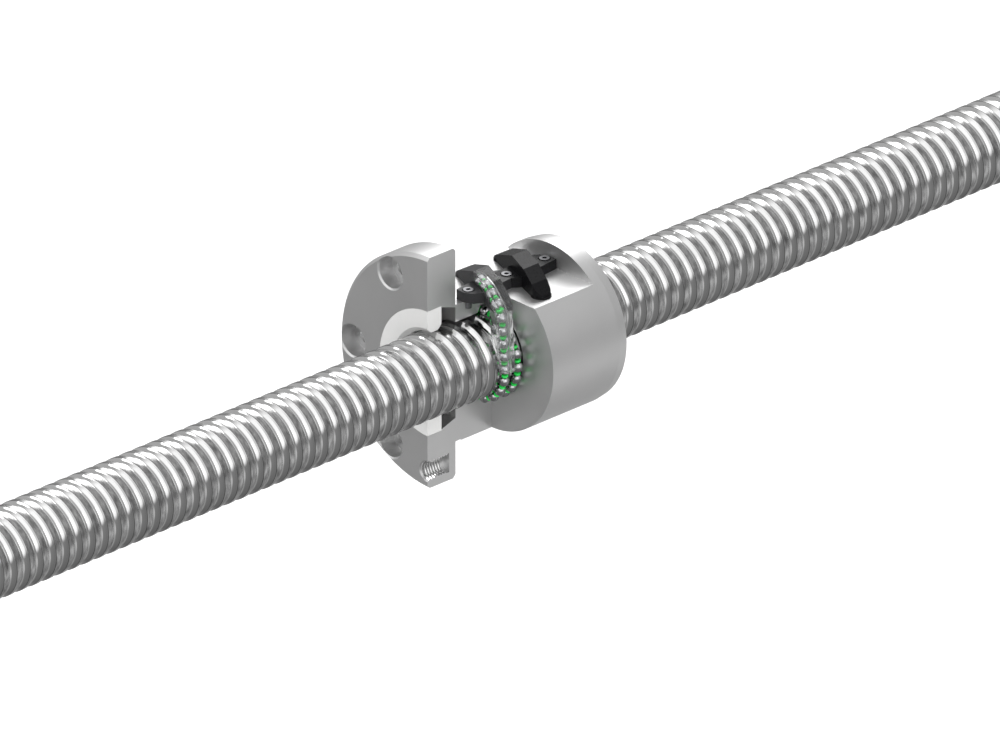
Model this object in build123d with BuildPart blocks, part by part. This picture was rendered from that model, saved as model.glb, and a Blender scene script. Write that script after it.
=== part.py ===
from build123d import *
import math
import os

# Ball screw with a flanged nut, shown cut away. Millimetres, +Z up.
# The screw's axis is X. The origin is on that axis, in the seating face of the nut's flange,
# and the nut's barrel lies on the +X side of it.

# Screw
screw_diameter = 24.5
lead = 5.0
ball_diameter = 3.175
ball_circle_diameter = 25.75
thread_start_x = -193.0
thread_length = 420.0
thread_run_out = 3.0
thread_start_angle = 40.0
groove_section_turns = 14
screw_root_diameter = 22.2
journal_diameter = 20.0
journal_chamfer = 0.8
fixed_journal_length = 30.0
nut_thread_diameter = 19.0
nut_thread_length = 14.0
drive_diameter = 15.0
drive_length = 24.0
support_bearing_width = 14.0
support_end_length = 4.0

# Retaining ring on the support journal
ring_thickness = 1.2
ring_groove_diameter = 19.0
ring_outer_diameter = 24.4
ring_gap_width = 4.5
ring_clearance = 0.15
ring_hole_diameter = 1.8

# Nut
barrel_diameter = 50.0
barrel_length = 43.6
barrel_lead_in = 3.0
barrel_lead_in_depth = 0.4
relief_length = 2.3
relief_depth = 0.3
flange_diameter = 72.0
flange_thickness = 11.0
flange_chamfer = 1.0
bolt_circle_diameter = (barrel_diameter + flange_diameter) / 2
bolt_hole_diameter = 5.5
bolt_head_diameter = 9.5
bolt_head_depth = 5.5
bolt_head_chamfer = 0.5
bolt_count = 6
oil_hole_diameter = 6.0
oil_hole_depth = 8.5
oil_hole_chamfer = 0.4
nut_bore_diameter = 25.4
flat_height = 18.0
rim_width = 6.3
section_x = 14.3

# Wipers, one in each end of the nut
wiper_diameter = 39.0
wiper_thickness = 5.5
rear_wiper_diameter = 33.0
wiper_gap = 0.3
wiper_seat_clearance = 0.05
wiper_lip_width = 1.4
cavity_front_diameter = 38.2
cavity_rear_diameter = 34.6

# Ball circuits and their return units
first_turn_x = 7.0
turns_per_circuit = 1.5
circuit_count = 2
leads_between_circuits = 3
ball_pitch_wanted = 4.1
groove_clearance = 0.15
nut_groove_overrun = 0.6
flank_angle = 60.0
channel_clearance = 0.12
spacer_diameter = 2.4
spacer_thickness = 0.7
return_bend_radius = 5.0
return_corner_radius = 22.0
return_shoulder_y = 4.5
guide_offset_x = 0.6
guide_width = 5.5
guide_half_length = 16.0
guide_profile = (
    (-14.9, 18.0),
    (-14.6, 19.2),
    (-11.2, 21.9),
    (-5.6, 24.1),
    (2.1, 24.8),
    (11.3, 20.9),
    (14.9, 18.8),
    (14.9, 18.0),
)
guide_lip_width = 0.25
guide_lip_height = 0.5
leg_width = 5.0
leg_inner_reach = 4.2
leg_end_height = -0.4
leg_pocket_clearance = 0.15
leg_track_clearance = 0.2
screw_clearance = 0.35

# Lugs that clamp the return units
lug_height = 3.1
lug_corners = ((-2.1, 2.6), (-2.1, -0.4), (-0.8, -3.0), (1.7, -4.6))
lug_root = (-5.4, 4.0)
left_lug_reach = 5.7
lap_clearance = 0.1
clamp_screw_diameter = 2.0
clamp_screw_depth = 2.4
clamp_hole_clearance = 0.05
clamp_head_diameter = 3.0
clamp_head_height = 1.2
clamp_head_recess = 1.0
clamp_head_clearance = 0.25
hex_socket_width = 1.3
hex_socket_depth = 0.7

screw_radius = screw_diameter / 2
ball_radius = ball_diameter / 2
ball_circle_radius = ball_circle_diameter / 2
barrel_radius = barrel_diameter / 2
bore_radius = nut_bore_diameter / 2
thread_end_x = thread_start_x + thread_length
circuit_spacing = leads_between_circuits * lead
right_lug_reach = circuit_spacing - left_lug_reach
lead_slope = lead / (2 * math.pi * ball_circle_radius)
lap_height = lug_height / 2


def helix_x(angle):
    """Where the ball track's centre lies along X at an angle about the axis, from +Y towards +Z."""
    return first_turn_x + lead * (angle - math.pi) / (2 * math.pi)


def helical_groove(profile, angle, turns):
    """Solid swept by a profile of (x offset, radius) corners along the ball track."""
    outward = Vector(0, math.cos(angle), math.sin(angle))
    start = Plane(origin=(helix_x(angle), 0, 0), x_dir=outward, z_dir=(1, 0, 0))
    helix = start.from_local_coords(Edge.make_helix(lead, lead * turns, profile[1][1]))
    corners = [start.origin + Vector(offset, 0, 0) + outward * radius for offset, radius in profile]
    section = Face(Wire.make_polygon(corners, close=True))
    return Solid.sweep(section, Wire([helix]), is_frenet=True)


def flank_offset(height):
    """Half the groove's width, at a height above the ball's centre towards the groove's root."""
    reach = ball_radius + groove_clearance
    slope = math.radians(flank_angle)
    return (reach - height * math.cos(slope)) / math.sin(slope)


def groove_profile(root_radius, open_radius):
    root = flank_offset(abs(root_radius - ball_circle_radius))
    inward = 1 if root_radius < ball_circle_radius else -1
    mouth = flank_offset(inward * (ball_circle_radius - open_radius))
    return [(-mouth, open_radius), (-root, root_radius), (root, root_radius), (mouth, open_radius)]


# The groove starts off the blank's seam and stays inside both shoulders. It is cut in sections
# that meet end to end.
groove_angle = math.radians(thread_start_angle)
groove_angle -= 2 * math.pi * math.floor((helix_x(groove_angle) - thread_start_x - thread_run_out) / lead)
turns_left = math.floor((thread_end_x - thread_run_out - helix_x(groove_angle)) / lead)
screw_groove = []
while turns_left > 0:
    section_turns = min(groove_section_turns, turns_left)
    profile = groove_profile(screw_root_diameter / 2, screw_radius + 0.5)
    screw_groove.append(helical_groove(profile, groove_angle, section_turns))
    groove_angle += 2 * math.pi * section_turns
    turns_left -= section_turns

# Screw shaft, with a fixed journal, a locknut seat and a drive stub at one end
support_journal_length = support_bearing_width + support_end_length
ring_groove_width = ring_thickness + 2 * ring_clearance
ring_groove_x = thread_end_x + support_bearing_width
left_shoulders = [
    (journal_diameter, fixed_journal_length),
    (nut_thread_diameter, nut_thread_length),
    (drive_diameter, drive_length),
]
with BuildPart() as screw_shaft:
    with BuildSketch(Plane.YZ.offset(thread_start_x)):
        Circle(screw_radius)
    extrude(amount=thread_length)
    chamfer(screw_shaft.edges().filter_by(GeomType.CIRCLE), journal_chamfer)
    add(screw_groove, mode=Mode.SUBTRACT)
    shoulder_x = thread_start_x
    for diameter, length in left_shoulders:
        with BuildSketch(Plane.YZ.offset(shoulder_x)):
            Circle(diameter / 2)
        extrude(amount=-length)
        shoulder_x -= length
    chamfer(screw_shaft.edges().sort_by(Axis.X)[0], journal_chamfer)
    with BuildSketch(Plane.YZ.offset(thread_end_x)):
        Circle(journal_diameter / 2)
    extrude(amount=support_journal_length)
    chamfer(screw_shaft.edges().sort_by(Axis.X)[-1], journal_chamfer)
    with BuildSketch(Plane.YZ.offset(ring_groove_x)):
        Circle(journal_diameter / 2)
        Circle(ring_groove_diameter / 2, mode=Mode.SUBTRACT)
    extrude(amount=ring_groove_width, mode=Mode.SUBTRACT)

# Retaining ring, an open ring with two eyes, loose in its groove
ring_inner_radius = ring_groove_diameter / 2 + ring_clearance
ring_eye_y = ring_gap_width / 2 + ring_hole_diameter
ring_eye_z = (ring_inner_radius + ring_outer_diameter / 2) / 2
with BuildPart() as retaining_ring:
    with BuildSketch(Plane.YZ.offset(ring_groove_x + ring_clearance)):
        Circle(ring_outer_diameter / 2)
        with Locations((ring_eye_y, ring_eye_z), (-ring_eye_y, ring_eye_z)):
            Circle(ring_hole_diameter)
        Circle(ring_inner_radius, mode=Mode.SUBTRACT)
        with Locations((0, ring_outer_diameter / 2)):
            Rectangle(ring_gap_width, ring_outer_diameter / 2, mode=Mode.SUBTRACT)
        with Locations((ring_eye_y, ring_eye_z), (-ring_eye_y, ring_eye_z)):
            Circle(ring_hole_diameter / 2, mode=Mode.SUBTRACT)
    extrude(amount=ring_thickness)

# Return path: both legs leave the ball track along its tangent. Corners over them lie as far from
# the axis as the crossing's shoulders, so the path keeps under the barrel's own round.
corner_height = math.sqrt(return_corner_radius**2 - ball_circle_radius**2)
shoulder_height = math.sqrt(return_corner_radius**2 - return_shoulder_y**2)
half_crossing_x = turns_per_circuit * lead / 2 + lead_slope * corner_height
crossing_slope = half_crossing_x / ball_circle_radius
crossing = Vector(crossing_slope, 1, 0).normalized()


def circuit_middle_x(circuit):
    return first_turn_x + turns_per_circuit * lead / 2 + circuit * circuit_spacing


def guide_middle_x(circuit):
    return circuit_middle_x(circuit) + guide_offset_x


def arch_plane(circuit):
    """Upright plane along a return unit's arch: local X runs from the front leg to the back leg."""
    return Plane(
        origin=(guide_middle_x(circuit), 0, 0),
        x_dir=crossing,
        z_dir=crossing.cross(Vector(0, 0, 1)),
    )


def leg_point(circuit, side, height):
    """A point of a leg's channel: side is -1 for the front leg and 1 for the back leg."""
    reach = turns_per_circuit * lead / 2 + lead_slope * height
    return Vector(circuit_middle_x(circuit) + side * reach, side * ball_circle_radius, height)


def shoulder_point(circuit, side):
    y = side * return_shoulder_y
    return Vector(circuit_middle_x(circuit) + crossing_slope * y, y, shoulder_height)


def return_path(circuit, foot_height):
    """Centre line of a return channel, from the back leg's foot to the front leg's."""
    back, front = [
        [
            leg_point(circuit, side, foot_height),
            leg_point(circuit, side, corner_height),
            shoulder_point(circuit, side),
        ]
        for side in (1, -1)
    ]
    with BuildLine() as path:
        FilletPolyline(*back, *reversed(front), radius=return_bend_radius)
    return path.wire()


# Track of one circuit: the loaded turns, then the return path back to their start
loaded_length = turns_per_circuit * math.hypot(2 * math.pi * ball_circle_radius, lead)
ball_return = return_path(0, 0)
loop_length = loaded_length + ball_return.length
ball_count = round(loop_length / ball_pitch_wanted)
ball_pitch = loop_length / ball_count


def track_plane(circuit, way):
    """Plane across a circuit's closed track, which starts where the front leg meets the screw."""
    if way < loaded_length:
        angle = math.pi + 2 * math.pi * turns_per_circuit * way / loaded_length
        outward = Vector(0, math.cos(angle), math.sin(angle))
        origin = Vector(helix_x(angle), 0, 0) + outward * ball_circle_radius
        onward = Vector(1, 0, 0).cross(outward) + Vector(lead_slope, 0, 0)
    else:
        share = (way - loaded_length) / ball_return.length
        origin = ball_return.position_at(share)
        onward = ball_return.tangent_at(share)
    return Plane(origin=origin + Vector(circuit * circuit_spacing, 0, 0), z_dir=onward)


# One ball, a solid of 26 flat faces whose corners lie on the ball's surface
ball_corner_ratio = 0.5795
ball_flat_width = ball_radius / ball_corner_ratio
with BuildPart() as ball:
    Box(ball_flat_width, ball_flat_width, ball_flat_width)
    chamfer(ball.edges(), ball_flat_width * (1 - 1 / (1 + math.sqrt(2))) / 2)

# One spacer, a small six-sided disc between two balls
with BuildPart() as spacer:
    with BuildSketch():
        RegularPolygon(spacer_diameter / 2, 6)
    extrude(amount=spacer_thickness / 2, both=True)

# The ball whose way along the track lies on the loaded stretch is a loaded ball
ball_train = {}
for circuit in range(circuit_count):
    for stretch in ("loaded", "return"):
        ball_train[circuit, stretch] = []
    for number in range(ball_count):
        way = number * ball_pitch
        stretch = "loaded" if way < loaded_length else "return"
        ball_train[circuit, stretch].append(way)

groups = {}
for (circuit, stretch), ways in ball_train.items():
    letter = "ab"[circuit]
    ball_places = [Location(track_plane(circuit, way).origin) for way in ways]
    spacer_places = [Location(track_plane(circuit, way + ball_pitch / 2)) for way in ways]
    with BuildPart() as balls:
        with Locations(*ball_places):
            add(ball.part)
    with BuildPart() as spacers:
        with Locations(*spacer_places):
            add(spacer.part)
    groups[f"{stretch}_balls_{letter}"] = balls
    groups[f"{stretch}_spacers_{letter}"] = spacers

# Return units: solid outlines of the arch, split along the ball channel into a base and a cover
channel_radius = ball_radius + channel_clearance
split_depth = 12.0
cover_end = 1.5


def leg_outline(circuit, side, clearance):
    """Plan of a leg at the height of the flat: round outside, straight towards the axis, and cut
    short beside the next turn of the ball track."""
    channel = leg_point(circuit, side, flat_height)
    centre = channel + Vector(guide_offset_x, 0, 0)
    plane = Plane(origin=centre, x_dir=crossing * -side, z_dir=(0, 0, 1))
    half_width = leg_width / 2 + clearance
    reach = leg_inner_reach + clearance
    with BuildSketch(plane) as outline:
        Circle(half_width)
        with Locations((reach / 2, 0)):
            Rectangle(reach, 2 * half_width)
    free = lead - ball_radius - leg_track_clearance + clearance
    next_turn = Plane(origin=channel - Vector(side * (free + leg_width), 0, 0), z_dir=(0, 0, 1))
    with BuildSketch(next_turn) as beside:
        Rectangle(2 * leg_width, 4 * leg_width)
    return outline.sketch - beside.sketch


def add_leg(circuit, side, clearance, mode):
    """Adds or cuts a leg's slanting prism from the flat down to its end beside the screw."""
    depth = flat_height - leg_end_height + clearance
    down = leg_point(circuit, side, 0) - leg_point(circuit, side, flat_height)
    extrude(
        leg_outline(circuit, side, clearance),
        amount=depth * down.length / flat_height,
        dir=down.normalized(),
        mode=mode,
    )


def guide_plan(circuit, height):
    """Plane at a height, along a return unit as seen from above."""
    return Plane(origin=(guide_middle_x(circuit), 0, height), x_dir=crossing, z_dir=(0, 0, 1))


def add_arch(circuit):
    """Adds the arch: its profile runs along X, and its plan is a slot across the nut."""
    reach = 2 * guide_half_length
    with BuildSketch(Plane.YZ.offset(guide_middle_x(circuit) - reach / 2)) as profile:
        Polygon(*guide_profile, align=None)
    extrude(profile.sketch, amount=reach)
    with BuildSketch(guide_plan(circuit, flat_height)) as plan:
        SlotOverall(reach, guide_width)
    extrude(plan.sketch, amount=barrel_radius, mode=Mode.INTERSECT)


def add_lip(circuit, side):
    """Adds the low lip round a foot of the arch."""
    foot = side * (guide_half_length - guide_width / 2)
    with BuildSketch(guide_plan(circuit, flat_height)) as plan:
        with Locations((foot, 0)):
            Circle(guide_width / 2 + guide_lip_width)
    extrude(plan.sketch, amount=guide_lip_height)


def base_outline():
    """Region of the base: under the channel's centre line, and the whole of the arch's back."""
    shoulder = return_shoulder_y / crossing.Y
    corner = ball_circle_radius / crossing.Y
    far = 2 * guide_half_length
    fall = (shoulder_height - flat_height) / (shoulder_height - corner_height)
    foot = shoulder + (corner - shoulder) * fall
    with BuildSketch() as region:
        Polygon(
            (-foot, flat_height),
            (-shoulder, shoulder_height),
            (cover_end, shoulder_height),
            (cover_end, far),
            (far, far),
            (far, -far),
            (0, -far),
            (0, flat_height),
            align=None,
        )
    return region.sketch


def cut_channel(circuit):
    """Cuts the ball channel from one leg's foot to the other's."""
    path = return_path(circuit, leg_end_height - ball_radius)
    with BuildSketch(Plane(origin=path.position_at(0), z_dir=path.tangent_at(0))) as bore:
        Circle(channel_radius)
    sweep(bore.sketch, path=path, mode=Mode.SUBTRACT)


def lug_outline(circuit, side, clearance=0):
    """Plan of a lug, from its clamp screw to the arch: the two sides are half a turn apart."""
    screw_x = clamp_xs[circuit + (1 if side > 0 else 0)]
    corners = [(screw_x - side * x, -side * y) for x, y in lug_corners]
    for along in lug_root:
        root = crossing * (-side * along)
        corners.append((guide_middle_x(circuit) + root.X, root.Y))
    with BuildSketch(Plane.XY) as plan:
        Polygon(*corners, align=None)
        if clearance:
            offset(amount=clearance)
    return plan.sketch


def add_lug(circuit, side, other):
    """Adds a lug: a left lug lies over the lower half of the lug of the unit before it."""
    flat = Location((0, 0, flat_height))
    lap = Location((0, 0, flat_height + lap_height))
    screw_x = clamp_xs[circuit + (1 if side > 0 else 0)]
    extrude(flat * lug_outline(circuit, side), amount=lug_height)
    if other is not None:
        taken = lug_outline(other, -side, lap_clearance)
        extrude((lap if side > 0 else flat) * taken, amount=lap_height, mode=Mode.SUBTRACT)
    with BuildSketch(Plane.XY.offset(flat_height)) as hole:
        with Locations((screw_x, 0)):
            Circle(clamp_screw_diameter / 2 + clamp_hole_clearance)
    extrude(hole.sketch, amount=lug_height, mode=Mode.SUBTRACT)
    with BuildSketch(Plane.XY.offset(flat_height + lug_height)) as recess:
        with Locations((screw_x, 0)):
            Circle(clamp_head_diameter / 2 + clamp_head_clearance)
    extrude(recess.sketch, amount=-clamp_head_recess, mode=Mode.SUBTRACT)


def make_unit(circuit):
    """The arch and both legs of a return unit as one solid, hollowed by the ball channel."""
    with BuildPart() as unit:
        add_arch(circuit)
        for side in (-1, 1):
            if side > 0 or guide_middle_x(circuit) > section_x:
                add_lip(circuit, side)
            add_leg(circuit, side, 0, Mode.ADD)
        cut_channel(circuit)
        with BuildSketch(Plane.YZ.offset(circuit_middle_x(circuit) - circuit_spacing)) as screw_space:
            Circle(screw_radius + screw_clearance)
        extrude(screw_space.sketch, amount=2 * circuit_spacing, mode=Mode.SUBTRACT)
    return unit.part


def split_block(circuit):
    with BuildPart() as block:
        with BuildSketch(arch_plane(circuit)) as region:
            add(base_outline())
        extrude(region.sketch, amount=split_depth, both=True)
    return block.part


clamp_xs = [circuit_middle_x(0) - left_lug_reach + n * circuit_spacing for n in range(circuit_count + 1)]
guides = {}
for circuit in range(circuit_count):
    letter = "ab"[circuit]
    unit = make_unit(circuit)
    block = split_block(circuit)
    before = circuit - 1 if circuit > 0 else None
    after = circuit + 1 if circuit < circuit_count - 1 else None
    with BuildPart() as base:
        add(unit)
        add(block, mode=Mode.INTERSECT)
        add_lug(circuit, -1, before)
        add_lug(circuit, 1, after)
        cut_channel(circuit)
    with BuildPart() as cover:
        add(unit)
        add(block, mode=Mode.SUBTRACT)
    guides[f"return_base_{letter}"] = base
    guides[f"return_cover_{letter}"] = cover

# Clamp screws through the lugs into the flat
clamps = {}
for number, screw_x in enumerate(clamp_xs):
    seat = flat_height + lug_height - clamp_head_recess
    with BuildPart() as clamp:
        with BuildSketch(Plane(origin=(screw_x, 0, seat))):
            Circle(clamp_head_diameter / 2)
        extrude(amount=clamp_head_height)
        with BuildSketch(Plane(origin=(screw_x, 0, flat_height - clamp_screw_depth))):
            Circle(clamp_screw_diameter / 2)
        extrude(amount=seat - flat_height + clamp_screw_depth)
        with BuildSketch(Plane(origin=(screw_x, 0, seat + clamp_head_height))):
            RegularPolygon(hex_socket_width / 2, 6, major_radius=False)
        extrude(amount=-hex_socket_depth, mode=Mode.SUBTRACT)
    clamps[f"clamp_screw_{number + 1}"] = clamp

# Wipers: the front one is cut in half with the nut
wiper_bore_radius = screw_radius + wiper_gap


def make_wiper(outer_radius, front_x):
    """Ring with a thin lip towards the screw at its outer face."""
    with BuildPart() as ring:
        with BuildSketch(Plane.YZ.offset(front_x)):
            Circle(outer_radius)
            Circle(wiper_bore_radius, mode=Mode.SUBTRACT)
        extrude(amount=wiper_thickness)
        inner = ring.edges().filter_by(GeomType.CIRCLE).group_by(SortBy.RADIUS)[0]
        chamfer(inner, wiper_lip_width)
    return ring.part


def cut_away():
    """Takes the half towards -Y off everything in front of the section."""
    with BuildSketch(Plane.YZ.offset(section_x)) as half:
        with Locations((-flange_diameter / 2, 0)):
            Rectangle(flange_diameter, 2 * flange_diameter)
    extrude(half.sketch, amount=-2 * (section_x + flange_thickness), mode=Mode.SUBTRACT)


with BuildPart() as front_wiper:
    add(make_wiper(wiper_diameter / 2 - wiper_seat_clearance, -flange_thickness))
    cut_away()
with BuildPart() as rear_wiper:
    add(make_wiper(rear_wiper_diameter / 2 - wiper_seat_clearance, barrel_length - wiper_thickness))

# Nut: flange and barrel in one, with its ball track, return pockets, wiper seats and section
nut_groove_angle = math.pi - nut_groove_overrun
nut_groove_end = math.pi + 2 * math.pi * (turns_per_circuit + leads_between_circuits * (circuit_count - 1))
nut_groove_turns = (nut_groove_end + nut_groove_overrun - nut_groove_angle) / (2 * math.pi)
nut_groove = helical_groove(
    groove_profile(ball_circle_diameter - screw_root_diameter / 2, bore_radius - 0.4),
    nut_groove_angle,
    nut_groove_turns,
)
with BuildPart() as nut_body:
    with BuildSketch(Plane.XZ):
        with BuildLine():
            Polyline(
                (-flange_thickness, bore_radius),
                (-flange_thickness, flange_diameter / 2 - flange_chamfer),
                (-flange_thickness + flange_chamfer, flange_diameter / 2),
                (-flange_chamfer, flange_diameter / 2),
                (0, flange_diameter / 2 - flange_chamfer),
                (0, barrel_radius - relief_depth),
                (relief_length, barrel_radius - relief_depth),
                (relief_length, barrel_radius),
                (barrel_length - barrel_lead_in, barrel_radius),
                (barrel_length, barrel_radius - barrel_lead_in_depth),
                (barrel_length, rear_wiper_diameter / 2),
                (barrel_length - wiper_thickness, rear_wiper_diameter / 2),
                (barrel_length - wiper_thickness, bore_radius),
                close=True,
            )
        make_face()
    revolve(axis=Axis.X)
    # Flat for the return units, with a rim left at the rear
    with BuildSketch(Plane.XY.offset(flat_height)):
        with Locations(((barrel_length - rim_width) / 2, 0)):
            Rectangle(barrel_length - rim_width, barrel_diameter)
    extrude(amount=barrel_radius, mode=Mode.SUBTRACT)
    # Wiper seat and the cavity behind it
    with BuildSketch(Plane.YZ.offset(-flange_thickness)):
        Circle(wiper_diameter / 2)
    extrude(amount=wiper_thickness, mode=Mode.SUBTRACT)
    with BuildSketch(Plane.YZ.offset(wiper_thickness - flange_thickness)):
        Circle(cavity_front_diameter / 2)
    with BuildSketch(Plane.YZ):
        Circle(cavity_rear_diameter / 2)
    loft(mode=Mode.SUBTRACT)
    # Bolt holes, counterbored from the front
    with BuildSketch(Plane.YZ.offset(-flange_thickness)):
        with PolarLocations(bolt_circle_diameter / 2, bolt_count):
            Circle(bolt_hole_diameter / 2)
    extrude(amount=flange_thickness, mode=Mode.SUBTRACT)
    with BuildSketch(Plane.YZ.offset(-flange_thickness)):
        with PolarLocations(bolt_circle_diameter / 2, bolt_count):
            Circle(bolt_head_diameter / 2)
    extrude(amount=bolt_head_depth, mode=Mode.SUBTRACT)
    with BuildSketch(Plane.YZ.offset(-flange_thickness)):
        with PolarLocations(bolt_circle_diameter / 2, bolt_count):
            Circle(bolt_head_diameter / 2 + bolt_head_chamfer)
    extrude(amount=bolt_head_chamfer, taper=45, mode=Mode.SUBTRACT)
    # Oil hole from the front face
    with BuildSketch(Plane.YZ.offset(-flange_thickness)):
        with Locations((0, -bolt_circle_diameter / 2)):
            Circle(oil_hole_diameter / 2)
    extrude(amount=oil_hole_depth, mode=Mode.SUBTRACT)
    with BuildSketch(Plane.YZ.offset(-flange_thickness)):
        with Locations((0, -bolt_circle_diameter / 2)):
            Circle(oil_hole_diameter / 2 + oil_hole_chamfer)
    extrude(amount=oil_hole_chamfer, taper=45, mode=Mode.SUBTRACT)
    # Pockets for the legs, and holes for the clamp screws
    for circuit in range(circuit_count):
        for side in (-1, 1):
            add_leg(circuit, side, leg_pocket_clearance, Mode.SUBTRACT)
    with BuildSketch(Plane.XY.offset(flat_height)):
        with Locations(*[(x, 0) for x in clamp_xs]):
            Circle(clamp_screw_diameter / 2 + clamp_hole_clearance)
    extrude(amount=-clamp_screw_depth - clamp_hole_clearance, mode=Mode.SUBTRACT)
    add(nut_groove, mode=Mode.SUBTRACT)
    cut_away()

pieces = {
    "screw_shaft": screw_shaft,
    "retaining_ring": retaining_ring,
    "nut_body": nut_body,
    "front_wiper": front_wiper,
    "rear_wiper": rear_wiper,
    **guides,
    **clamps,
    **groups,
}
os.makedirs("parts", exist_ok=True)
for name, piece in pieces.items():
    piece.part.label = name
    export_step(piece.part, f"parts/{name}.step")
print(f"{ball_count} balls in each circuit, {ball_pitch:.3f} mm apart")
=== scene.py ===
import math

import bmesh
import bpy
import numpy as np
from mathutils import Matrix, Vector


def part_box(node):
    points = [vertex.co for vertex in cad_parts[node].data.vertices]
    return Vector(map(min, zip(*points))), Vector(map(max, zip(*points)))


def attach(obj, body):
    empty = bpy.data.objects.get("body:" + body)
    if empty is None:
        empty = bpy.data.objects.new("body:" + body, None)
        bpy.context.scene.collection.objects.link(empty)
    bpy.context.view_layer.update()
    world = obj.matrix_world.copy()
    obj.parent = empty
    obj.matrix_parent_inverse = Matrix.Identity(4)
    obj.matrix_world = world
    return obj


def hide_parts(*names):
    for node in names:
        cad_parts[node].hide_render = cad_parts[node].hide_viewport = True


# A ball screw with a cut-away nut. Metres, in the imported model's frame: the screw's axis is X,
# and the origin lies in the seating face of the nut's flange.
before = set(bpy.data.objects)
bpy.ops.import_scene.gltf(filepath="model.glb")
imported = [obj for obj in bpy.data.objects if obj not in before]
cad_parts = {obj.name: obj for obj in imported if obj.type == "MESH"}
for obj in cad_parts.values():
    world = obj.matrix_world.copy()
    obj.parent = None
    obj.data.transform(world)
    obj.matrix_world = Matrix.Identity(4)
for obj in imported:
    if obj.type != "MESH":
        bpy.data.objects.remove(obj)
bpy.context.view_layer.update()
MM = 0.001

# Ball track and screw, in millimetres
LEAD = 5.0
BALL_RADIUS = 1.5875
TRACK_RADIUS = 12.875
TRACK_X = 7.0
SCREW_RADIUS = 12.25
THREAD_START = -193.0
THREAD_END = 227.0
THREAD_ENDS_X = (-189.95, 220.0)
JOURNAL_RADIUS = 10.0
SPACER_RADIUS = 0.95

# Grease port: the axis's height, the mouth's x, the depth and the thread
PORT_Z = -30.5
PORT_X = -11.0
PORT_DEPTH = 8.5
PORT_RADIUS = 3.0
PORT_PITCH = 1.0

# The photograph: view angles in degrees, the point at its centre and its width, in millimetres
VIEW_AZIMUTH = -44.05
VIEW_ELEVATION = 25.47
VIEW_CENTRE = (14.9, -2.7, -7.9)
VIEW_WIDTH = 283.0
LENS = 1100.0
SENSOR_WIDTH = 36.0

# Stage: the floor's height in metres and the brightest light of the sky
FLOOR_Z = -0.32
PEAK = 1.7


# Materials

def new_material(name):
    """New material; returns it, its tree and shader, and its coordinates on the object."""
    material = bpy.data.materials.new(name)
    material.use_nodes = True
    tree = material.node_tree
    shader = tree.nodes["Principled BSDF"]
    coords = tree.nodes.new("ShaderNodeTexCoord")
    return material, tree, shader, coords.outputs["Object"]


def add_noise(tree, vector, stretch, detail=4.0):
    """Noise whose grain is stretched: stretch is its scale along X, Y and Z, per metre."""
    mapping = tree.nodes.new("ShaderNodeMapping")
    mapping.inputs["Scale"].default_value = stretch
    tree.links.new(vector, mapping.inputs["Vector"])
    noise = tree.nodes.new("ShaderNodeTexNoise")
    noise.inputs["Scale"].default_value = 1.0
    noise.inputs["Detail"].default_value = detail
    tree.links.new(mapping.outputs["Vector"], noise.inputs["Vector"])
    return noise.outputs["Fac"]


def add_range(tree, value, low, high):
    span = tree.nodes.new("ShaderNodeMapRange")
    span.inputs["From Min"].default_value = 0.3
    span.inputs["From Max"].default_value = 0.7
    span.inputs["To Min"].default_value = low
    span.inputs["To Max"].default_value = high
    tree.links.new(value, span.inputs["Value"])
    return span.outputs["Result"]


def add_colour(tree, value, dark, light):
    mix = tree.nodes.new("ShaderNodeMix")
    mix.data_type = "RGBA"
    mix.inputs["A"].default_value = (*dark, 1.0)
    mix.inputs["B"].default_value = (*light, 1.0)
    tree.links.new(value, mix.inputs["Factor"])
    return mix.outputs["Result"]


def add_bump(tree, value, shader, strength, distance):
    bump = tree.nodes.new("ShaderNodeBump")
    bump.inputs["Strength"].default_value = strength
    bump.inputs["Distance"].default_value = distance
    tree.links.new(value, bump.inputs["Height"])
    tree.links.new(bump.outputs["Normal"], shader.inputs["Normal"])


def metal(
    name, tone, roughness, grain, bump=0.08, spread=0.04, cloud=(60.0,) * 3, mottle=None, pure=1.0
):
    """Metal with tooling marks: grain is the marks' stretch, tone and roughness their middle.

    Cloud is the stretch of its patches, and mottle how far their tone varies. Pure is the part
    of the light that the metal mirrors, in place of scattering it.
    """
    material, tree, shader, vector = new_material(name)
    shader.inputs["Metallic"].default_value = pure
    marks = add_noise(tree, vector, grain)
    clouds = add_range(tree, add_noise(tree, vector, cloud, 3.0), 0.0, 1.0)
    dark = tuple(c - (mottle or spread) for c in tone)
    light = tuple(c + (mottle or spread) for c in tone)
    tree.links.new(add_colour(tree, clouds, dark, light), shader.inputs["Base Color"])
    rough = add_range(tree, marks, roughness - spread, roughness + spread)
    tree.links.new(rough, shader.inputs["Roughness"])
    add_bump(tree, marks, shader, bump, 0.00002)
    return material


def plastic(name, tone, roughness, spread=0.01, bump=0.15, gloss=1.5):
    """Moulded plastic with a fine even grain; gloss is its refractive index."""
    material, tree, shader, vector = new_material(name)
    shader.inputs["IOR"].default_value = gloss
    grain = add_noise(tree, vector, (2500.0, 2500.0, 2500.0))
    clouds = add_noise(tree, vector, (90.0, 90.0, 90.0), 2.0)
    dark = tuple(max(c - spread, 0.0) for c in tone)
    light = tuple(min(c + spread, 1.0) for c in tone)
    tree.links.new(add_colour(tree, clouds, dark, light), shader.inputs["Base Color"])
    rough = add_range(tree, grain, roughness - 0.05, roughness + 0.05)
    tree.links.new(rough, shader.inputs["Roughness"])
    add_bump(tree, grain, shader, bump, 0.00003)
    return material


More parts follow.
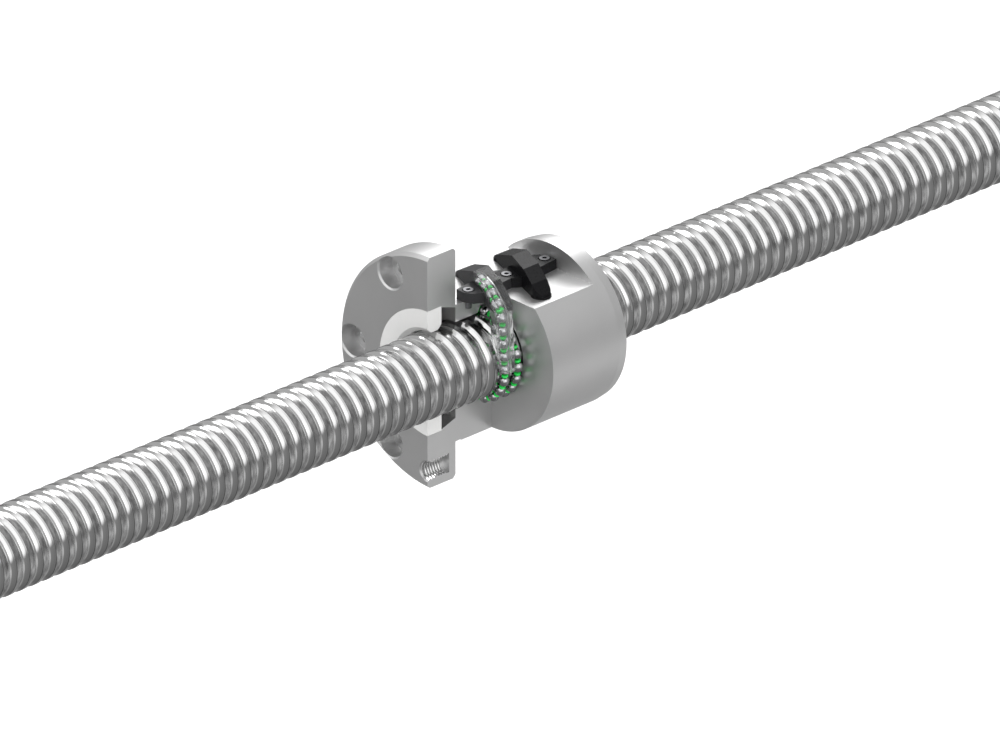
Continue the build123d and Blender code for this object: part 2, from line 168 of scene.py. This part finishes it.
def clear_plastic(name, tone, roughness):
    """Clear moulded plastic, seen through, with faint flow marks."""
    material, tree, shader, vector = new_material(name)
    flow = add_noise(tree, vector, (180.0, 180.0, 700.0))
    tree.links.new(add_colour(tree, flow, tone, (1.0, 1.0, 1.0)), shader.inputs["Base Color"])
    rough = add_range(tree, flow, roughness, roughness + 0.06)
    tree.links.new(rough, shader.inputs["Roughness"])
    shader.inputs["IOR"].default_value = 1.2
    shader.inputs["Transmission Weight"].default_value = 0.95
    add_bump(tree, flow, shader, 0.3, 0.0002)
    return material


TURNED = (4000.0, 60.0, 60.0)
looks = {
    "nut_steel": metal("nut_steel", (0.68, 0.68, 0.68), 0.38, TURNED, 0.02, 0.02, pure=0.85),
    "crest_steel": metal(
        "crest_steel", (0.46, 0.46, 0.46), 0.2, (2600.0, 200.0, 200.0), 0.4, 0.06,
        cloud=(900.0, 350.0, 350.0), mottle=0.2,
    ),
    # Near-black steel for the chamfer at the groove's +X edge: painted shade, standing in for the
    # dark shadowed line along that edge of the groove
    "edge_steel": metal("edge_steel", (0.14, 0.14, 0.14), 0.4, TURNED),
    "groove_steel": metal("groove_steel", (0.74, 0.74, 0.74), 0.1, (1500.0, 80.0, 80.0), 0.05),
    "journal_steel": metal("journal_steel", (0.74, 0.74, 0.74), 0.22, (900.0, 120.0, 120.0), 0.1),
    "spring_steel": metal("spring_steel", (0.2, 0.2, 0.21), 0.4, (300.0, 300.0, 300.0)),
    "bright_steel": metal("bright_steel", (0.2, 0.2, 0.21), 0.34, (300.0, 300.0, 300.0)),
    "ball_steel": metal("ball_steel", (0.5, 0.5, 0.51), 0.06, (200.0, 200.0, 200.0), 0.02, 0.03),
    "wiper_plastic": plastic("wiper_plastic", (0.84, 0.84, 0.83), 0.5),
    "black_plastic": plastic("black_plastic", (0.008, 0.008, 0.009), 0.3, 0.003, gloss=1.2),
    "grey_plastic": plastic("grey_plastic", (0.04, 0.04, 0.042), 0.35, gloss=1.3),
    "spacer_plastic": plastic("spacer_plastic", (0.03, 0.88, 0.12), 0.4, 0.02),
    "clear_plastic": clear_plastic("clear_plastic", (0.92, 0.94, 0.94), 0.02),
}


# Looks of the shaft, in the order of its material indices; the last is painted shade, a near-black
# tone on the chamfer at the groove's +X edge
SHAFT_LOOKS = "crest_steel groove_steel journal_steel edge_steel"
CREST, GROOVE, JOURNAL, PAINTED_SHADE_EDGE = range(4)


def paint(obj, look):
    """Gives a CAD node one look."""
    obj.data.materials.clear()
    obj.data.materials.append(looks[look])


# Meshes

def smooth_object(name, mesh, look, body, node):
    """Puts a mesh in the scene with its looks, in place of a CAD node if one is named."""
    obj = bpy.data.objects.new(name, mesh)
    bpy.context.scene.collection.objects.link(obj)
    for each in look.split():
        mesh.materials.append(looks[each])
    if node:
        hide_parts(node)
    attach(obj, body)
    return obj


def groove_line(samples):
    """Screw's profile over one lead, from crest to crest, as (x offset, radius) pairs.

    Both edges of the groove are broken by a small chamfer.
    """
    arc_radius = BALL_RADIUS * 1.06
    mouth = math.asin((TRACK_RADIUS - SCREW_RADIUS + 0.12) / arc_radius)
    line = [(-LEAD / 2, SCREW_RADIUS)]
    edge = arc_radius * math.cos(mouth)
    line.append((-edge - 0.35, SCREW_RADIUS))
    line.append((-edge - 0.1, SCREW_RADIUS - 0.02))
    for k in range(samples + 1):
        angle = math.pi + mouth + (math.pi - 2 * mouth) * k / samples
        x = arc_radius * math.cos(angle)
        line.append((x, TRACK_RADIUS + arc_radius * math.sin(angle)))
    line.append((edge + 0.12, SCREW_RADIUS - 0.02))
    line.append((edge + 0.35, SCREW_RADIUS))
    line.append((LEAD / 2, SCREW_RADIUS))
    return line


def screw_mesh(steps_per_turn=64, samples=8):
    """Threaded length as one helical strip per lead, which fades out at both ends."""
    mesh = bmesh.new()
    line = groove_line(samples)
    # Index of the face on the groove's +X chamfer, which takes the painted shade
    edge = len(line) - 4
    first = THREAD_START - LEAD
    turns = (THREAD_END + LEAD - first) / LEAD
    steps = int(turns * steps_per_turn)
    rows = []
    for step in range(steps + 1):
        angle = math.pi + 2 * math.pi * ((first - TRACK_X) / LEAD + step / steps_per_turn)
        centre = TRACK_X + LEAD * (angle - math.pi) / (2 * math.pi)
        inside = min(centre - THREAD_ENDS_X[0], THREAD_ENDS_X[1] - centre) / (LEAD * 0.15)
        depth = min(max(inside, 0.0), 1.0)
        row = []
        for offset, radius in line:
            x = min(max(centre + offset, THREAD_START), THREAD_END)
            r = SCREW_RADIUS + (radius - SCREW_RADIUS) * depth
            at = (x * MM, r * math.cos(angle) * MM, r * math.sin(angle) * MM)
            row.append(mesh.verts.new(at))
        rows.append(row)
    for a, b in zip(rows, rows[1:]):
        for k in range(len(line) - 1):
            corners = [a[k], a[k + 1], b[k + 1], b[k]]
            if max(v.co.x for v in corners) - min(v.co.x for v in corners) > 1e-7:
                look = PAINTED_SHADE_EDGE if k == edge else GROOVE if 2 <= k < edge else CREST
                mesh.faces.new(corners).material_index = look
    bmesh.ops.remove_doubles(mesh, verts=mesh.verts, dist=2e-6)
    return mesh


def add_revolved(mesh, line, segments=96, look=CREST):
    """Adds a surface of revolution about X through (x, radius) pairs in millimetres."""
    rings = []
    for x, radius in line:
        ring = []
        if radius == 0:
            ring = [mesh.verts.new((x * MM, 0, 0))] * segments
        else:
            for k in range(segments):
                angle = 2 * math.pi * k / segments
                at = (x * MM, radius * math.cos(angle) * MM, radius * math.sin(angle) * MM)
                ring.append(mesh.verts.new(at))
        rings.append(ring)
    for a, b in zip(rings, rings[1:]):
        for k in range(segments):
            corners = [a[k], a[(k + 1) % segments], b[(k + 1) % segments], b[k]]
            unique = list(dict.fromkeys(corners))
            if len(unique) > 2:
                mesh.faces.new(unique).material_index = look


def finish_mesh(mesh, name, angle=35.0):
    """Turns a bmesh into a mesh shaded smooth up to an edge angle in degrees."""
    bmesh.ops.recalc_face_normals(mesh, faces=mesh.faces)
    data = bpy.data.meshes.new(name)
    mesh.to_mesh(data)
    mesh.free()
    data.polygons.foreach_set("use_smooth", [True] * len(data.polygons))
    data.set_sharp_from_angle(angle=math.radians(angle))
    return data


screw_low, screw_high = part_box("screw_shaft")
left_end = screw_low.x / MM
right_end = screw_high.x / MM
screw = screw_mesh()
fixed_end = THREAD_START - 30.0
nut_end = fixed_end - 14.0
add_revolved(
    screw,
    [
        (THREAD_START, SCREW_RADIUS),
        (THREAD_START, JOURNAL_RADIUS + 0.3),
        (THREAD_START - 0.3, JOURNAL_RADIUS),
        (fixed_end + 0.4, JOURNAL_RADIUS),
        (fixed_end, JOURNAL_RADIUS - 0.4),
        (fixed_end, 9.5),
        (nut_end + 0.4, 9.5),
        (nut_end, 9.1),
        (nut_end, 7.5),
        (left_end + 0.8, 7.5),
        (left_end, 6.7),
        (left_end, 2.6),
        (left_end + 2.2, 1.2),
        (left_end + 4.6, 1.2),
        (left_end + 5.2, 0),
    ],
    look=JOURNAL,
)
groove_x = THREAD_END + 14.0
add_revolved(
    screw,
    [
        (THREAD_END, SCREW_RADIUS),
        (THREAD_END, JOURNAL_RADIUS + 0.3),
        (THREAD_END + 0.3, JOURNAL_RADIUS),
        (groove_x, JOURNAL_RADIUS),
        (groove_x, 9.5),
        (groove_x + 1.5, 9.5),
        (groove_x + 1.5, JOURNAL_RADIUS),
        (right_end - 0.8, JOURNAL_RADIUS),
        (right_end, JOURNAL_RADIUS - 0.8),
        (right_end, 2.6),
        (right_end - 2.2, 1.2),
        (right_end - 4.6, 1.2),
        (right_end - 5.2, 0),
    ],
    look=JOURNAL,
)
smooth_object(
    "screw_finish", finish_mesh(screw, "screw_finish", 30.0), SHAFT_LOOKS,
    "screw", "screw_shaft",
)


def islands(node):
    """Corner points of each separate solid in a CAD node's mesh."""
    mesh = bmesh.new()
    mesh.from_mesh(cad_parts[node].data)
    bmesh.ops.remove_doubles(mesh, verts=mesh.verts, dist=1e-6)
    seen = set()
    found = []
    for first in mesh.verts:
        if first in seen:
            continue
        seen.add(first)
        queue = [first]
        points = []
        while queue:
            vert = queue.pop()
            points.append(vert.co.copy())
            for edge in vert.link_edges:
                other = edge.other_vert(vert)
                if other not in seen:
                    seen.add(other)
                    queue.append(other)
        found.append(np.array(points, float))
    mesh.free()
    return found


def ball_mesh(node):
    mesh = bmesh.new()
    for points in islands(node):
        place = Matrix.Translation(points.mean(0))
        bmesh.ops.create_icosphere(mesh, subdivisions=3, radius=BALL_RADIUS * MM, matrix=place)
    return finish_mesh(mesh, node + "_finish", 80.0)


def spacer_mesh(node, segments=20):
    """Discs with rounded rims and a dish in each face that the balls run against."""
    mesh = bmesh.new()
    half = 0.35
    line = [
        (-half * 0.55, 0.0),
        (-half, SPACER_RADIUS * 0.8),
        (-half * 0.7, SPACER_RADIUS),
        (half * 0.7, SPACER_RADIUS),
        (half, SPACER_RADIUS * 0.8),
        (half * 0.55, 0.0),
    ]
    for points in islands(node):
        centre = points.mean(0)
        values, vectors = np.linalg.eigh(np.cov((points - centre).T))
        axis = Vector(vectors[:, 0])
        turn = Vector((1, 0, 0)).rotation_difference(axis).to_matrix().to_4x4()
        disc = bmesh.new()
        add_revolved(disc, line, segments)
        disc.transform(Matrix.Translation(centre) @ turn)
        data = bpy.data.meshes.new("disc")
        disc.to_mesh(data)
        disc.free()
        mesh.from_mesh(data)
        bpy.data.meshes.remove(data)
    return finish_mesh(mesh, node + "_finish")


for node in sorted(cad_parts):
    if "_balls_" in node:
        smooth_object(node + "_finish", ball_mesh(node), "ball_steel", "nut", node)
    elif "_spacers_" in node:
        smooth_object(
            node + "_finish", spacer_mesh(node), "spacer_plastic", "nut", node
        )


def port_thread():
    """Ridges of the grease port's thread, on the half of the hole that the section leaves."""
    mesh = bmesh.new()
    root = PORT_RADIUS + 0.01
    tip = PORT_RADIUS - 0.45 * PORT_PITCH
    ridge = ((-0.42, root), (-0.08, tip), (0.08, tip), (0.42, root))
    for turn in range(int((PORT_DEPTH - 1.4) / PORT_PITCH)):
        rows = []
        for k in range(17):
            angle = math.pi * (k / 16 - 0.5)
            x = PORT_X + 0.9 + PORT_PITCH * (turn + k / 32)
            row = []
            for offset, radius in ridge:
                y = radius * max(math.cos(angle), 0.0)
                z = PORT_Z + radius * math.sin(angle)
                row.append(mesh.verts.new(((x + offset) * MM, y * MM, z * MM)))
            rows.append(row)
        for a, b in zip(rows, rows[1:]):
            for k in range(3):
                mesh.faces.new([a[k], a[k + 1], b[k + 1], b[k]])
        mesh.faces.new(rows[0])
        mesh.faces.new(rows[-1])
    return finish_mesh(mesh, "port_thread", 20.0)


smooth_object("port_thread", port_thread(), "groove_steel", "nut", None)

# CAD nodes whose own shape stays
cad_looks = {
    "nut_body": "nut_steel",
    "retaining_ring": "spring_steel",
    "front_wiper": "wiper_plastic",
    "rear_wiper": "wiper_plastic",
    "return_base_a": "grey_plastic",
    "return_cover_a": "clear_plastic",
    "return_base_b": "black_plastic",
    "return_cover_b": "black_plastic",
    "clamp_screw_1": "bright_steel",
    "clamp_screw_2": "bright_steel",
    "clamp_screw_3": "bright_steel",
}
for node, look in cad_looks.items():
    paint(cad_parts[node], look)


# Stage, light and camera

def stage_material():
    """Matt white, which the camera alone sees a little brighter than its light makes it."""
    material, tree, shader, vector = new_material("stage_white")
    clouds = add_noise(tree, vector, (2.0, 2.0, 2.0), 1.0)
    tree.links.new(add_colour(tree, clouds, (0.93,) * 3, (0.95,) * 3), shader.inputs["Base Color"])
    shader.inputs["Roughness"].default_value = 0.9
    shader.inputs["Emission Color"].default_value = (1, 1, 1, 1)
    path = tree.nodes.new("ShaderNodeLightPath")
    lift = tree.nodes.new("ShaderNodeMath")
    lift.operation = "MULTIPLY"
    lift.inputs[1].default_value = 0.2
    tree.links.new(path.outputs["Is Camera Ray"], lift.inputs[0])
    tree.links.new(lift.outputs["Value"], shader.inputs["Emission Strength"])
    return material


bpy.ops.mesh.primitive_plane_add(size=30.0, location=(0, 0, FLOOR_Z))
floor = bpy.context.object
floor.name = "floor"
floor.data.materials.append(stage_material())
floor.visible_glossy = False
floor.visible_transmission = False

world = bpy.data.worlds.new("studio")
bpy.context.scene.world = world
world.use_nodes = True
tree = world.node_tree
tree.nodes.clear()
coords = tree.nodes.new("ShaderNodeTexCoord")
split = tree.nodes.new("ShaderNodeSeparateXYZ")
tree.links.new(coords.outputs["Generated"], split.inputs["Vector"])


def sky_levels(axis, levels):
    """Grey light along one axis of the sky, through (direction, brightness) pairs."""
    low = levels[0][0]
    high = levels[-1][0]
    span = tree.nodes.new("ShaderNodeMapRange")
    span.inputs["From Min"].default_value = low
    span.inputs["From Max"].default_value = high
    tree.links.new(split.outputs[axis], span.inputs["Value"])
    ramp = tree.nodes.new("ShaderNodeValToRGB")
    tree.links.new(span.outputs["Result"], ramp.inputs["Fac"])
    stops = ramp.color_ramp.elements
    while len(stops) < len(levels):
        stops.new(0.5)
    for stop, (at, tone) in zip(stops, levels):
        stop.position = (at - low) / (high - low)
        stop.color = (tone / PEAK, tone / PEAK, tone / PEAK, 1.0)
    return ramp.outputs["Color"]


def sky_join(axis, low, high, first, second):
    """One light below low on an axis and the other above high, with a soft step between."""
    step = tree.nodes.new("ShaderNodeMapRange")
    step.interpolation_type = "SMOOTHSTEP"
    step.inputs["From Min"].default_value = low
    step.inputs["From Max"].default_value = high
    tree.links.new(split.outputs[axis], step.inputs["Value"])
    mix = tree.nodes.new("ShaderNodeMix")
    mix.data_type = "RGBA"
    tree.links.new(step.outputs["Result"], mix.inputs["Factor"])
    tree.links.new(first, mix.inputs["A"])
    tree.links.new(second, mix.inputs["B"])
    return mix.outputs["Result"]


# Far is the sky behind the object, near the one over and behind the camera, and end the part
# that looks straight along the screw. High and low are above and below the horizon.
far_high = sky_levels("Y", [
    (-0.8, 0.3), (-0.65, 0.45), (-0.44, 0.45), (-0.17, 0.48), (0.15, 0.55), (0.42, 1.1),
    (0.52, 1.7), (0.66, 1.7), (0.75, 0.5), (0.85, 0.3),
])
far_low = sky_levels("Z", [
    (-0.75, 0.35), (-0.6, 0.6), (-0.43, 0.65), (-0.28, 0.45), (-0.13, 0.3), (0.0, 0.22),
])
near_high = sky_levels("Y", [(-1.0, 1.3), (0.1, 1.3), (0.5, 0.5), (1.0, 0.5)])
near_low = sky_levels("Y", [(-1.0, 0.25), (0.2, 0.15), (0.5, 0.28), (1.0, 0.28)])
far = sky_join("Z", -0.06, 0.06, far_low, far_high)
near = sky_join("Z", -0.2, 0.1, near_low, near_high)
end = sky_levels("Y", [(-1.0, 0.2), (0.2, 0.2), (0.6, 0.28), (1.0, 0.4)])
near = sky_join("X", -0.97, -0.7, end, near)
soft = tree.nodes.new("ShaderNodeBackground")
soft.inputs["Strength"].default_value = PEAK
tree.links.new(sky_join("X", 0.2, 0.5, near, far), soft.inputs["Color"])
white = tree.nodes.new("ShaderNodeBackground")
white.inputs["Color"].default_value = (1, 1, 1, 1)
white.inputs["Strength"].default_value = 1.0
path = tree.nodes.new("ShaderNodeLightPath")
mix = tree.nodes.new("ShaderNodeMixShader")
tree.links.new(path.outputs["Is Camera Ray"], mix.inputs["Fac"])
tree.links.new(soft.outputs["Background"], mix.inputs[1])
tree.links.new(white.outputs["Background"], mix.inputs[2])
out = tree.nodes.new("ShaderNodeOutputWorld")
tree.links.new(mix.outputs["Shader"], out.inputs["Surface"])

azimuth = math.radians(VIEW_AZIMUTH)
elevation = math.radians(VIEW_ELEVATION)
right = Vector((math.cos(azimuth), math.sin(azimuth), 0))
back = Vector((
    math.sin(azimuth) * math.cos(elevation),
    -math.cos(azimuth) * math.cos(elevation),
    math.sin(elevation),
))
up = back.cross(right)
aim = Vector(VIEW_CENTRE) * MM


def area_light(name, offset, size, power):
    """Square light at an offset from the aim, given along the view's right, up and back."""
    light = bpy.data.lights.new(name, "AREA")
    light.size = size
    light.energy = power
    obj = bpy.data.objects.new(name, light)
    bpy.context.scene.collection.objects.link(obj)
    at = aim + right * offset[0] + up * offset[1] + back * offset[2]
    obj.location = at
    obj.rotation_euler = (at - aim).to_track_quat("Z", "Y").to_euler()
    return obj


area_light("key", (0.13, 1.34, -0.65), 0.7, 3.5)
area_light("side", (-1.33, 0.55, 0.41), 0.7, 4.0)
area_light("fill", (0.9, 0.2, 1.2), 0.8, 1.2)

camera_data = bpy.data.cameras.new("camera")
camera_data.sensor_width = SENSOR_WIDTH
camera_data.lens = LENS
camera_data.clip_end = 60.0
camera = bpy.data.objects.new("camera", camera_data)
bpy.context.scene.collection.objects.link(camera)
distance = VIEW_WIDTH * MM * LENS / SENSOR_WIDTH
turn = Matrix((right, up, back)).transposed().to_4x4()
camera.matrix_world = Matrix.Translation(aim + back * distance) @ turn
bpy.context.scene.camera = camera
bpy.context.scene.view_settings.view_transform = "Standard"
